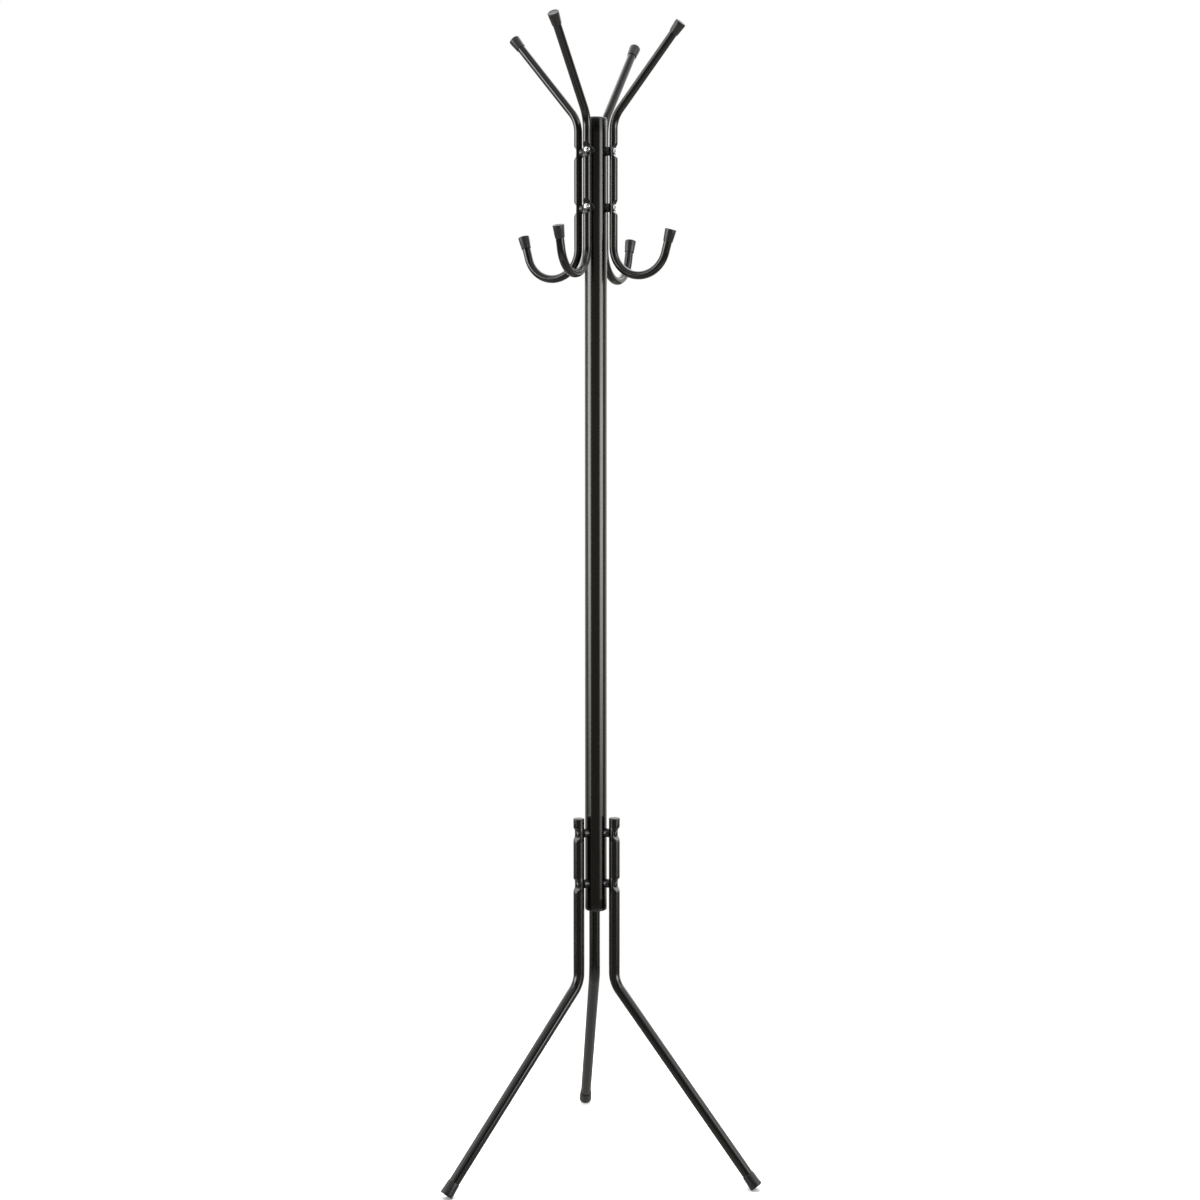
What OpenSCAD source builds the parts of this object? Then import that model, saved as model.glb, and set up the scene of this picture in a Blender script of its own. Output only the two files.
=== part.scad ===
// Standing coat rack of bent steel tube. A round pole stands on three bent legs, and four bent
// tubes round its upper end make a hat prong above and a coat hook below.
// Z is up, the floor is z = 0, and the origin is on the floor in line with the pole.
// One hook tube and one leg point along +X. Sizes are in millimetres and angles in degrees.

/* [Overall] */
// Height of the highest edge of the prong caps above the floor
rack_height = 1650; // [1600:5:1700]
// Number of hook tubes round the pole
hook_count = 4; // [4]
// Number of legs round the pole
leg_count = 3; // [3]

/* [Pole] */
// Outer diameter of the pole
pole_d = 32; // [30:0.5:34]
// Wall thickness of the pole
pole_wall = 1.2; // [1:0.1:1.5]
// Height of the pole's lower end, with its plug
pole_bottom = 380; // [370:5:390]
// Height of the pole's upper end, with its plug
pole_top = 1524; // [1515:1:1530]
// Thickness of each plug's rim
plug_rim = 4; // [3:0.5:5]
// Rounding of the rim's outer edge
plug_edge = 2.5; // [1:0.25:2.75]

/* [Hook tubes] */
// Outer diameter of the hook tube
hook_d = 12; // [11.5:0.25:12.5]
// Wall thickness of the hook tube
hook_wall = 1.2; // [1:0.1:1.4]
// Height where the upright stretch ends and the bend below the prong starts
prong_bend_z = 1505; // [1500:1:1508]
// Centre line radius of that bend
prong_bend = 45; // [35:1:55]
// Lean of the prong from the vertical
prong_lean = 40; // [36:1:44]
// Height of the lowest point of the hook's centre line
hook_bottom = 1300; // [1290:1:1310]
// Centre line radius of the hook
hook_bend = 41; // [38:0.5:44]
// Lean of the hook's end from the vertical
hook_lean = 15; // [10:1:20]
// Straight length at the hook's end, with its cap
hook_end = 33; // [28:1:38]

/* [Tube caps] */
// Length of a push-on cap
cap_length = 18; // [16:0.5:20]
// Outer diameter at the cap's mouth
cap_mouth_d = 13.6; // [13.4:0.1:14]
// Outer diameter at the cap's flat end
cap_end_d = 16.4; // [15.5:0.1:17]
// Thickness of the cap's closed end
cap_floor = 3; // [2:0.5:4]
// Rounding of the cap's end edge
cap_edge = 1; // [0.6:0.1:1.4]

/* [Legs] */
// Outer diameter of the leg tube
leg_d = 16; // [15:0.5:17]
// Wall thickness of the leg tube
leg_wall = 1.5; // [1.2:0.1:1.8]
// Height of the leg's upper end, with its plug
leg_top = 519; // [515:1:525]
// Height where the upright stretch ends and the leg's bend starts
leg_bend_z = 289.5; // [280:0.5:300]
// Centre line radius of the leg's bend
leg_bend = 40; // [30:1:50]
// Lean of the leg from the vertical below the bend
leg_lean = 39.8; // [36:0.2:44]
// Length of a foot cap
foot_length = 21; // [18:0.5:24]
// Outer diameter at the foot cap's mouth
foot_mouth_d = 17.8; // [17.4:0.1:18.4]
// Outer diameter at the foot cap's end
foot_end_d = 19.6; // [19:0.1:21]
// Depth of the flat that the foot stands on
foot_flat = 1.6; // [1.2:0.1:2]

/* [Fixings] */
// Gap between the pole and each tube, held by the spacers
spacer_gap = 6; // [5:0.5:7]
// Outer diameter of a spacer
spacer_d = 13; // [12.5:0.25:14]
// Thread diameter of the screws
screw_d = 6; // [6]
// Diameter of the screw heads
head_d = 9; // [8.6:0.1:9.4]
// Height of the screw heads
head_h = 2.2; // [2:0.1:2.6]
// Thread length of the hook screws
hook_screw_length = 22; // [21:0.5:23]
// Thread length of the leg screws
leg_screw_length = 26; // [25:0.5:27]
// Height of the upper hook screws
hook_screw_z = 1476; // [1470:1:1480]
// Distance between the two screws of a hook tube
hook_screw_step = 79; // [75:1:82]
// Height of the upper leg screws
leg_screw_z = 496; // [493:0.5:496]
// Distance between the two screws of a leg
leg_screw_step = 75; // [72:1:78]
// Depth of the pressed seats in a hook tube
hook_seat_depth = 5.5; // [5:0.1:5.8]
// Depth of the pressed seats in a leg
leg_seat_depth = 6; // [5.5:0.1:6.5]
// Length of a pressed seat along the tube
seat_length = 20; // [19:0.5:24]

/* [Hidden] */
$fn = 48;

lacquer_colour = [0.06, 0.06, 0.065];
cap_colour = [0.12, 0.12, 0.125];
spacer_colour = [0.04, 0.04, 0.045];
zinc_colour = [0.78, 0.79, 0.8];
dark_screw_colour = [0.2, 0.2, 0.21];
nut_colour = [0.7, 0.66, 0.5];

pole_r = pole_d / 2;
pole_bore = pole_r - pole_wall;
hook_r = hook_d / 2;
leg_r = leg_d / 2;

// Distance of the tubes' upright stretches from the pole's axis
hook_axis = pole_r + spacer_gap + hook_r;
leg_axis = pole_r + spacer_gap + leg_r;

// The prong's straight stretch ends where its cap's upper edge is at the rack's full height
prong_end_z = rack_height - cap_end_d / 2 * sin(prong_lean);
prong_run = (prong_end_z - prong_bend_z - prong_bend * sin(prong_lean)) / cos(prong_lean);

// The hook's curve starts straight down, at the height of its centre
hook_bend_z = hook_bottom + hook_bend;
hook_sweep = 180 - hook_lean;

// The leg's straight stretch ends where its cap's lower edge is foot_flat under the floor
foot_end_z = foot_end_d / 2 * sin(leg_lean) - foot_flat;
leg_run = (leg_bend_z - leg_bend * sin(leg_lean) - foot_end_z) / cos(leg_lean);
foot_edge = 1.5;
foot_floor = 4;

// How much thinner the tube is round a bend, and how far the straight stretches reach into it
bend_thinning = 0.2;
joint_reach = 0.5;

// Stems of the plugs that go into the pole and the legs
plug_stem = 18;
plug_wall = 2;
leg_plug_rim = 2.5;
leg_plug_edge = 1.2;
leg_plug_stem = 7;

// Screws, the holes that they pass through and the nuts in the pole's wall
screw_clearance = 0.25;
thread_gap = 0.05;
cap_gap = 0.1;
cross_width = 1.2;
cross_length = 5;
cross_depth = 1.3;
head_edge = 1.6;
tip_chamfer = 0.7;
nut_d = 9;
nut_flange_d = 10.6;
nut_flange = 1;
nut_depth = 7;
nut_bulge = 3;
nut_bulge_d = 11;
spacer_wrap = 1.5;
seat_flat = head_d / 2 + 0.4;

hook_heights = [hook_screw_z, hook_screw_z - hook_screw_step];
leg_heights = [leg_screw_z, leg_screw_z - leg_screw_step];

// Points of an arc in a flat outline
function arc_points(centre, radius, from, to, count) = [
    for (i = [0 : count])
        centre + radius * [cos(from + (to - from) * i / count), sin(from + (to - from) * i / count)]
];

// Turns its children to one of a number of places round the pole
module around(count, index) {
    rotate([0, 0, 360 / count * (index - 1)]) children();
}

// Moves its children from the start of a bend to a place along the straight stretch past it. The
// bar comes up the line x = 0 to the origin, bends towards +X and runs on.
module past_bend(bend_radius, angle, run) {
    translate([bend_radius, 0, 0])
        rotate([0, angle, 0])
            translate([-bend_radius, 0, run])
                children();
}

// A bend and the straight stretch past it. Bending draws the tube out a little thinner, and the
// straight stretches reach a little way into the bend.
module bend_and_run(bend_radius, angle, run, radius) {
    translate([bend_radius, 0, 0])
        mirror([1, 0, 0])
            rotate([90, 0, 0])
                rotate_extrude(angle = angle)
                    translate([bend_radius, 0])
                        circle(r = radius - bend_thinning);
    past_bend(bend_radius, angle, -joint_reach) cylinder(h = run + joint_reach, r = radius);
}

// An upright round bar at a distance from the pole's axis, between two heights
module upright(axis, from, to, radius) {
    translate([axis, 0, from]) cylinder(h = to - from, r = radius);
}

// Puts its children at the lower or the upper end of a tube's upright stretch, to go on from there
module from_upright(axis, height, downwards) {
    translate([axis, 0, height]) mirror([0, 0, downwards ? 1 : 0]) children();
}

// A round bar that points away from the pole's axis at a height
module radial(from, to, radius, height) {
    translate([from, 0, height])
        rotate([0, 90, 0])
            cylinder(h = to - from, r = radius);
}

// The pressed seats in a tube's outer side, moved in by an offset for the tube's inner surface
module seat_cuts(outside, heights, depth, offset) {
    bottom = outside - depth - offset;
    slope = atan(depth / (seat_length / 2 - seat_flat));
    half_flat = seat_flat + offset * tan(slope / 2);
    rise = depth + offset + 2;
    half_mouth = half_flat + rise / tan(slope);
    for (height = heights)
        translate([0, outside, height])
            rotate([90, 0, 0])
                linear_extrude(height = 2 * outside)
                    polygon([
                        [bottom, -half_flat], [bottom + rise, -half_mouth],
                        [bottom + rise, half_mouth], [bottom, half_flat]
                    ]);
}

// The solid bar that a hook tube is bent from, from the prong's end to the hook's end
module hook_bar(radius) {
    from_upright(hook_axis, prong_bend_z, false)
        bend_and_run(prong_bend, prong_lean, prong_run - cap_floor, radius);
    upright(hook_axis, hook_bend_z - joint_reach, prong_bend_z + joint_reach, radius);
    from_upright(hook_axis, hook_bend_z, true)
        bend_and_run(hook_bend, hook_sweep, hook_end - cap_floor, radius);
}

// The solid bar that a leg is bent from, from its upper end to its foot
module leg_bar(radius) {
    upright(leg_axis, leg_bend_z - joint_reach, leg_top - leg_plug_rim, radius);
    from_upright(leg_axis, leg_bend_z, true)
        bend_and_run(leg_bend, leg_lean, leg_run - foot_floor, radius);
}

// A tapered push-on cap that points down its own Z axis, with its closed end at the origin
module push_cap(length, mouth_d, end_d, bore_d, floor, edge) {
    end_r = end_d / 2;
    rotate_extrude()
        polygon(concat(
            [[0, 0]],
            arc_points([end_r - edge, -edge], edge, 90, 0, 4),
            [[mouth_d / 2, -length], [bore_d / 2, -length], [bore_d / 2, -floor], [0, -floor]]
        ));
}

// A plug with a rounded rim above the origin and a hollow stem below it
module tube_plug(rim_r, rim, edge, bore_r, stem, wall) {
    rotate_extrude()
        polygon(concat(
            [[0, rim]],
            arc_points([rim_r - edge, rim - edge], edge, 90, 0, 4),
            [[rim_r, 0], [bore_r, 0], [bore_r, -stem], [bore_r - wall, -stem], [bore_r - wall, 0], [0, 0]]
        ));
}

// Pan head screw whose head seats at a distance from the axis and whose thread points inwards
module screw(seat, length, height) {
    screw_r = screw_d / 2;
    head_r = head_d / 2;
    translate([seat, 0, height])
        rotate([0, 90, 0])
            difference() {
                rotate_extrude()
                    polygon(concat(
                        [[0, -length], [screw_r - tip_chamfer, -length], [screw_r, tip_chamfer - length]],
                        [[screw_r, 0], [head_r, 0]],
                        arc_points([head_r - head_edge, head_h - head_edge], head_edge, 0, 75, 4),
                        [[0, head_h]]
                    ));
                for (turn = [0, 90])
                    rotate([0, 0, turn])
                        translate([-cross_length / 2, -cross_width / 2, head_h - cross_depth])
                            cube([cross_length, cross_width, 2 * cross_depth]);
            }
}

// Moulded spacer, hollowed to lie against the pole and against the tube
module spacer(tube_axis, tube_r, height) {
    difference() {
        radial(pole_r - 3, pole_r + spacer_gap + spacer_wrap, spacer_d / 2, height);
        translate([0, 0, height - spacer_d]) cylinder(h = 2 * spacer_d, r = pole_r);
        translate([tube_axis, 0, height - spacer_d]) cylinder(h = 2 * spacer_d, r = tube_r);
        radial(pole_r - 4, pole_r + nut_flange, nut_flange_d / 2, height);
        radial(pole_r - 4, tube_axis, screw_d / 2 + screw_clearance, height);
    }
}

// Blind rivet nut with its flange on the pole and its swelled end behind the pole's wall
module rivet_nut(height) {
    inner_face = pole_r - pole_wall - nut_bulge;
    difference() {
        union() {
            difference() {
                radial(pole_r - 3, pole_r + nut_flange, nut_flange_d / 2, height);
                translate([0, 0, height - nut_d]) cylinder(h = 2 * nut_d, r = pole_r);
            }
            radial(pole_r - nut_depth, pole_r + nut_flange, nut_d / 2, height);
            intersection() {
                radial(inner_face, pole_r, nut_bulge_d / 2, height);
                translate([0, 0, height - nut_d]) cylinder(h = 2 * nut_d, r = pole_bore);
            }
        }
        radial(0, pole_r + 2 * nut_flange, screw_d / 2 + thread_gap, height);
    }
}

module pole_tube() {
    color(lacquer_colour)
        difference() {
            translate([0, 0, pole_bottom + plug_rim])
                cylinder(h = pole_top - pole_bottom - 2 * plug_rim, r = pole_r);
            translate([0, 0, pole_bottom]) cylinder(h = pole_top - pole_bottom, r = pole_bore);
            for (i = [1 : hook_count], height = hook_heights)
                around(hook_count, i) radial(0, pole_d, nut_d / 2, height);
            for (i = [1 : leg_count], height = leg_heights)
                around(leg_count, i) radial(0, pole_d, nut_d / 2, height);
        }
}

module pole_top_plug() {
    color(cap_colour)
        translate([0, 0, pole_top - plug_rim])
            tube_plug(pole_r, plug_rim, plug_edge, pole_bore, plug_stem, plug_wall);
}

module pole_bottom_plug() {
    color(cap_colour)
        translate([0, 0, pole_bottom + plug_rim])
            mirror([0, 0, 1])
                tube_plug(pole_r, plug_rim, plug_edge, pole_bore, plug_stem, plug_wall);
}

module hook_tube(index) {
    color(lacquer_colour)
        around(hook_count, index)
            difference() {
                hook_bar(hook_r);
                seat_cuts(hook_axis + hook_r, hook_heights, hook_seat_depth, 0);
                difference() {
                    hook_bar(hook_r - hook_wall);
                    seat_cuts(hook_axis + hook_r, hook_heights, hook_seat_depth, hook_wall);
                }
                for (height = hook_heights)
                    radial(pole_r, hook_axis + hook_d, screw_d / 2 + screw_clearance, height);
            }
}

module prong_cap(index) {
    color(cap_colour)
        around(hook_count, index)
            from_upright(hook_axis, prong_bend_z, false)
                past_bend(prong_bend, prong_lean, prong_run)
                    push_cap(cap_length, cap_mouth_d, cap_end_d, hook_d + cap_gap, cap_floor, cap_edge);
}

module hook_cap(index) {
    color(cap_colour)
        around(hook_count, index)
            from_upright(hook_axis, hook_bend_z, true)
                past_bend(hook_bend, hook_sweep, hook_end)
                    push_cap(cap_length, cap_mouth_d, cap_end_d, hook_d + cap_gap, cap_floor, cap_edge);
}

module leg_tube(index) {
    color(lacquer_colour)
        around(leg_count, index)
            difference() {
                leg_bar(leg_r);
                seat_cuts(leg_axis + leg_r, leg_heights, leg_seat_depth, 0);
                difference() {
                    leg_bar(leg_r - leg_wall);
                    seat_cuts(leg_axis + leg_r, leg_heights, leg_seat_depth, leg_wall);
                }
                for (height = leg_heights)
                    radial(pole_r, leg_axis + leg_d, screw_d / 2 + screw_clearance, height);
            }
}

module leg_plug(index) {
    color(cap_colour)
        around(leg_count, index)
            translate([leg_axis, 0, leg_top - leg_plug_rim])
                tube_plug(leg_r, leg_plug_rim, leg_plug_edge, leg_r - leg_wall, leg_plug_stem, leg_wall);
}

module foot_cap(index) {
    color(cap_colour)
        around(leg_count, index)
            difference() {
                from_upright(leg_axis, leg_bend_z, true)
                    past_bend(leg_bend, leg_lean, leg_run)
                        push_cap(
                            foot_length, foot_mouth_d, foot_end_d, leg_d + cap_gap, foot_floor, foot_edge
                        );
                translate([leg_axis, -foot_length, -foot_length])
                    cube([rack_height, 2 * foot_length, foot_length]);
            }
}

module hook_spacers() {
    color(spacer_colour)
        for (i = [1 : hook_count], height = hook_heights)
            around(hook_count, i) spacer(hook_axis, hook_r, height);
}

module leg_spacers() {
    color(spacer_colour)
        for (i = [1 : leg_count], height = leg_heights)
            around(leg_count, i) spacer(leg_axis, leg_r, height);
}

module hook_screws() {
    color(zinc_colour)
        for (i = [1 : hook_count], height = hook_heights)
            around(hook_count, i) screw(hook_axis + hook_r - hook_seat_depth, hook_screw_length, height);
}

module leg_screws() {
    color(dark_screw_colour)
        for (i = [1 : leg_count], height = leg_heights)
            around(leg_count, i) screw(leg_axis + leg_r - leg_seat_depth, leg_screw_length, height);
}

module hook_nuts() {
    color(nut_colour)
        for (i = [1 : hook_count], height = hook_heights)
            around(hook_count, i) rivet_nut(height);
}

module leg_nuts() {
    color(nut_colour)
        for (i = [1 : leg_count], height = leg_heights)
            around(leg_count, i) rivet_nut(height);
}

pole_tube();
pole_top_plug();
pole_bottom_plug();
for (i = [1 : hook_count]) {
    hook_tube(i);
    prong_cap(i);
    hook_cap(i);
}
for (i = [1 : leg_count]) {
    leg_tube(i);
    leg_plug(i);
    foot_cap(i);
}
hook_spacers();
leg_spacers();
hook_screws();
leg_screws();
hook_nuts();
leg_nuts();
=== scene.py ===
# Looks of the standing coat rack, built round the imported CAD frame. Shapes are worked out in
# millimetres, and object_of() turns them into metres.
import math

import bmesh
import bpy
import numpy as np
from mathutils import Matrix, Vector


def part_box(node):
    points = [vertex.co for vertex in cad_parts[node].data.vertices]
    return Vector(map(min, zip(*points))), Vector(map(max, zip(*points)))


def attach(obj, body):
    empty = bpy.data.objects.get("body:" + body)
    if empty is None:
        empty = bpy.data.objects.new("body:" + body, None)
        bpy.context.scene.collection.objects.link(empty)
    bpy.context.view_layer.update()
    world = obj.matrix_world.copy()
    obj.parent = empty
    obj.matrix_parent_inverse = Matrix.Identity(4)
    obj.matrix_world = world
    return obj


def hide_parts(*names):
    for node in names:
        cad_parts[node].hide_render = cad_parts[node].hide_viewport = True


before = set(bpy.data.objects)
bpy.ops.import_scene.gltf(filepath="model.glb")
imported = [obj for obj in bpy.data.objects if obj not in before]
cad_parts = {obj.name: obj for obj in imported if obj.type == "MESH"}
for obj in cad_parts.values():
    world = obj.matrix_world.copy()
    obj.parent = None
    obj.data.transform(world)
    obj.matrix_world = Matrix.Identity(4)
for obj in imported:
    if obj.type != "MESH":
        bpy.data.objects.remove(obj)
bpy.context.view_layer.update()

MM = 0.001

# ---------------------------------------------------------------- camera: millimetres, metres, degrees
LENS, SENSOR = 56.64, 36.0
CAMERA_PLACE = (1.2021, -2.4511, 1.063)
CAMERA_TILT, CAMERA_TURN = 85.259, 26.0

# ---------------------------------------------------------------- sizes of the design, in millimetres
POLE_R, POLE_WALL, POLE_BOTTOM, POLE_TOP = 16.0, 1.2, 380.0, 1524.0
PLUG_RIM, PLUG_EDGE, PLUG_STEM, PLUG_WALL = 4.0, 2.5, 18.0, 2.0
HOOKS, HOOK_R, HOOK_WALL, HOOK_AXIS = 4, 6.0, 1.2, 28.0
PRONG_BEND_Z, PRONG_BEND, PRONG_LEAN = 1505.0, 45.0, 40.0
HOOK_BOTTOM, HOOK_BEND, HOOK_LEAN, HOOK_END = 1300.0, 41.0, 15.0, 33.0
RACK_HEIGHT = 1650.0
CAP_LENGTH, CAP_MOUTH_R, CAP_END_R, CAP_FLOOR = 18.0, 6.8, 8.2, 3.0
LEGS, LEG_R, LEG_WALL, LEG_AXIS, LEG_TOP = 3, 8.0, 1.5, 30.0, 519.0
LEG_BEND_Z, LEG_BEND, LEG_LEAN = 289.5, 40.0, 39.8
FOOT_LENGTH, FOOT_MOUTH_R, FOOT_END_R, FOOT_FLAT, FOOT_FLOOR = 21.0, 8.9, 9.8, 1.6, 4.0
LEG_PLUG_RIM, LEG_PLUG_STEM = 2.5, 7.0
SPACER_GAP, SPACER_R, SPACER_WRAP = 6.0, 6.5, 1.5
SCREW_R, SCREW_CLEARANCE, HEAD_R, HEAD_H, PITCH = 3.0, 0.25, 4.5, 2.2, 1.0
HOOK_SCREW_LENGTH, LEG_SCREW_LENGTH = 22.0, 26.0
NUT_R, NUT_FLANGE_R, NUT_FLANGE = 4.5, 5.3, 1.0
HOOK_HEIGHTS = (1476.0, 1397.0)
LEG_HEIGHTS = (496.0, 421.0)
HOOK_SEAT, LEG_SEAT, SEAT_FLAT, SEAT_REACH = 5.5, 6.0, 3.9, 12.0

# ---------------------------------------------------------------- finer shapes, in millimetres
# Bending flattens a tube by a share of its width, and by END_SHARE of that where the bend ends. A fade
# says how far this reaches: above the bend (mm), into it from either end (degrees), below it (mm).
HOOK_OVAL, LEG_OVAL, END_SHARE = 0.035, 0.03, 0.5
PRONG_FADE, HOOK_FADE, LEG_FADE = (14, 9, 10), (12, 12, 12), (14, 10, 14)
# Share by which a pressed seat's flanks bulge, and how far round the tube they reach, as a cosine.
HOOK_BULGE, LEG_BULGE, FLANK_START = 0.04, 0.03, 0.75
# Share that the press still reaches above the upper seat, for how far it holds, and how far it fades.
HOOK_CROWN, LEG_CROWN, CROWN_HOLD, CROWN_FADE = 0.0, 0.25, 7.0, 12.0
# How far clear of the round tube a seat's ramp starts, and the rounding of the seat's edges.
RAMP_LIFT, SEAT_ROUNDING = 0.9, 1.6
# Stations on an upright: how far the close ones go from a seat's middle, their step, how far from it
# the others stay, and their step.
SEAT_SPAN, SEAT_STEP, SEAT_CLEAR, FAR_STEP = 20.3, 0.7, 22.0, 12.0
# Caps: slack round the tube, width of the rim inside the rounded edge, from there to the floor of the
# dish, how far the flare narrows in its first third, and height of the parting line.
CAP_SLACK, RIM_INSET, DISH_INSET, FLARE_FALL, PARTING_LINE = 0.05, 1.0, 1.6, 0.35, 0.07
# Plugs: depth, half width and pitch of the stem's ribs, and how far down the first one is.
RIB_DEPTH, RIB_HALF, RIB_PITCH, FIRST_RIB = 0.4, 0.7, 3.0, 2.0
# Cross recess: half length and half width of its arms, at its mouth and at its floor.
CROSS_MOUTH, CROSS_FLOOR, CROSS_DEPTH = (2.7, 0.62), (1.1, 0.38), 1.3
# Threads: depth, length over which they run out, stations a turn, bluntness of the crests, length of
# the plain neck under the head, and how much narrower the screw's tip is.
THREAD_DEPTH, THREAD_RUN_OUT, THREAD_STEPS, CREST, NECK, TIP_INSET = 0.6, 1.5, 6, 1.25, 1.0, 1.1
# How far each screw is turned, in degrees.
HEAD_TURNS = (12, 57, 33, 81, 5, 64, 40, 74)
# Rounding of the pole's edges, and how far under the feet the floor lies.
POLE_EDGE, FLOOR_DROP = 0.25, 0.2
# The most that a piece may be off the box of the CAD node that it stands for.
MOST_OFF = 1.5

# ---------------------------------------------------------------- studio
# Radii of the two floor discs, in millimetres, and where the floor fades to white, in metres.
FLOOR_NEAR, FLOOR_FAR, FADE_START, FADE_END = 900, 30000, 0.42, 0.88
# The light above the rack: its distance, height and size in metres, and its watts.
TOP_DISTANCE, TOP_HEIGHT, TOP_SIZE, TOP_WATTS = 0.4, 3.6, 2.4, 90
# The softboxes' azimuths (degrees, 0 at the camera and more to the right), their strength, and how
# much the left one's lower edge rises for each degree to the right.
LEFT_BOX, RIGHT_BOX, BOX_STRENGTH, LEFT_SLANT = -73.7, 60.0, 8.8, -0.15
WHITE, WARM_WHITE, WARM = (1, 1, 1, 1), (1, 0.97, 0.92, 1), (1, 0.88, 0.7, 1)


# ---------------------------------------------------------------- closed shells: (points, faces)
def joined(shells):
    points, faces, start = [], [], 0
    for shell_points, shell_faces in shells:
        points.append(shell_points)
        faces += [[start + i for i in face] for face in shell_faces]
        start += len(shell_points)
    return np.vstack(points), faces


def placed(shell, matrix):
    points, faces = shell
    return points @ np.array(matrix.to_3x3()).T + np.array(matrix.translation), faces


def rounded(corners, closed=False, steps=6):
    """Outline through corners of (across, up, rounding), with each rounding drawn as an arc."""
    outline = []
    count = len(corners)
    for i, (x, y, radius) in enumerate(corners):
        here = Vector((x, y))
        if radius <= 0 or (not closed and i in (0, count - 1)):
            outline.append((x, y))
            continue
        back = (Vector(corners[i - 1][:2]) - here).normalized()
        ahead = (Vector(corners[(i + 1) % count][:2]) - here).normalized()
        half = back.angle(ahead) / 2
        reach = radius / math.tan(half)
        centre = here + (back + ahead).normalized() * radius / math.sin(half)
        first, last = here + back * reach - centre, here + ahead * reach - centre
        sweep = math.pi - 2 * half
        turn = 1 if first.x * last.y - first.y * last.x > 0 else -1
        for k in range(steps + 1):
            a = turn * sweep * k / steps
            outline.append((
                centre.x + first.x * math.cos(a) - first.y * math.sin(a),
                centre.y + first.x * math.sin(a) + first.y * math.cos(a),
            ))
    return outline


def between(low, high):
    """Faces between two rings of points. Either may be a single point."""
    segments = max(len(low), len(high))
    faces = []
    for k in range(segments):
        n = (k + 1) % segments
        if len(low) == 1:
            faces.append([low[0], high[n], high[k]])
        elif len(high) == 1:
            faces.append([low[k], low[n], high[0]])
        else:
            faces.append([low[k], low[n], high[n], high[k]])
    return faces


def turned(rings, segments):
    """Closed surface about Z. A ring is (radius, height), and either may be an array over the
    segments. It closes on the axis where the first and last radius are nought, else as a loop."""
    points, loops = [], []
    angles = np.arange(segments) * 2 * math.pi / segments
    for radius, height in rings:
        if np.isscalar(radius) and radius < 1e-9:
            loops.append([len(points)])
            points.append((0.0, 0.0, float(height)))
            continue
        loops.append(list(range(len(points), len(points) + segments)))
        across = np.broadcast_to(radius, segments)
        up = np.broadcast_to(height, segments)
        points += list(zip(across * np.cos(angles), across * np.sin(angles), up))
    pairs = list(zip(loops, loops[1:]))
    if len(loops[0]) > 1:
        pairs.append((loops[-1], loops[0]))
    return np.array(points), [face for low, high in pairs for face in between(low, high)]


def object_of(name, shell, material=None, sharp=35.0):
    """A mesh object of a shell given in millimetres, with its normals outwards."""
    mesh = bpy.data.meshes.new(name)
    mesh.from_pydata((shell[0] * MM).tolist(), [], shell[1])
    work = bmesh.new()
    work.from_mesh(mesh)
    bmesh.ops.recalc_face_normals(work, faces=work.faces)
    work.to_mesh(mesh)
    work.free()
    mesh.polygons.foreach_set("use_smooth", [True] * len(mesh.polygons))
    mesh.set_sharp_from_angle(angle=math.radians(sharp))
    if material:
        mesh.materials.append(material)
    obj = bpy.data.objects.new(name, mesh)
    bpy.context.scene.collection.objects.link(obj)
    return obj


def cut(shell, cutters):
    """Takes closed shells out of a shell."""
    body = object_of("cut_body", shell)
    tools = []
    for cutter in cutters:
        tool = object_of("cut_tool", cutter)
        change = body.modifiers.new("cut", "BOOLEAN")
        change.operation = "DIFFERENCE"
        change.solver = "EXACT"
        change.object = tool
        tools.append(tool)
    seen = body.evaluated_get(bpy.context.evaluated_depsgraph_get())
    mesh = seen.to_mesh()
    points = np.array([v.co for v in mesh.vertices]) / MM
    faces = [list(p.vertices) for p in mesh.polygons]
    seen.to_mesh_clear()
    for obj in [body] + tools:
        data = obj.data
        bpy.data.objects.remove(obj)
        bpy.data.meshes.remove(data)
    return points, faces


def around(count, index):
    return Matrix.Rotation(2 * math.pi * index / count, 4, "Z")


def radial(distance, height, turn=0.0):
    """Frame whose Z axis points away from the pole along +X, at a distance and a height."""
    return (
        Matrix.Translation((distance, 0, height))
        @ Matrix.Rotation(math.radians(90), 4, "Y")
        @ Matrix.Rotation(math.radians(turn), 4, "Z")
    )


# ---------------------------------------------------------------- bent tubes
def smooth(t):
    t = min(max(t, 0.0), 1.0)
    return t * t * (3 - 2 * t)


def soft_min(values, limit, width):
    blend = np.clip(width - np.abs(values - limit), 0, None) / width
    return np.minimum(values, limit) - blend * blend * width / 4


def bend_steps(angle):
    return np.linspace(0, angle, max(4, round(angle / 2)) + 1)


def run_past(rise, bend, angle):
    """Length of the straight end past a bend, where bend and end together rise by a given height."""
    a = math.radians(angle)
    return (rise - bend * math.sin(a)) / math.cos(a)


def station(axis, height, sign, bend, angle, run, share):
    """Row of a path: a place on the axis of a tube that is upright at a distance from the pole, then
    bends away, upwards where the sign is 1 and downwards where it is -1, and then runs straight. A row
    is (x, z, normal x, normal z, share of the ovality)."""
    a = math.radians(angle)
    return (
        axis + bend * (1 - math.cos(a)) + run * math.sin(a),
        height + sign * bend * math.sin(a) + sign * run * math.cos(a),
        math.cos(a), -sign * math.sin(a), share,
    )


def oval_past(distance, reach):
    """Share of a bend's ovality at a distance past its end."""
    return END_SHARE * smooth(1 - distance / reach)


def oval_inside(degrees, sweep, reach):
    """Share of a bend's ovality at an angle inside it."""
    return END_SHARE + (1 - END_SHARE) * smooth(min(degrees, sweep - degrees) / reach)


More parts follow.
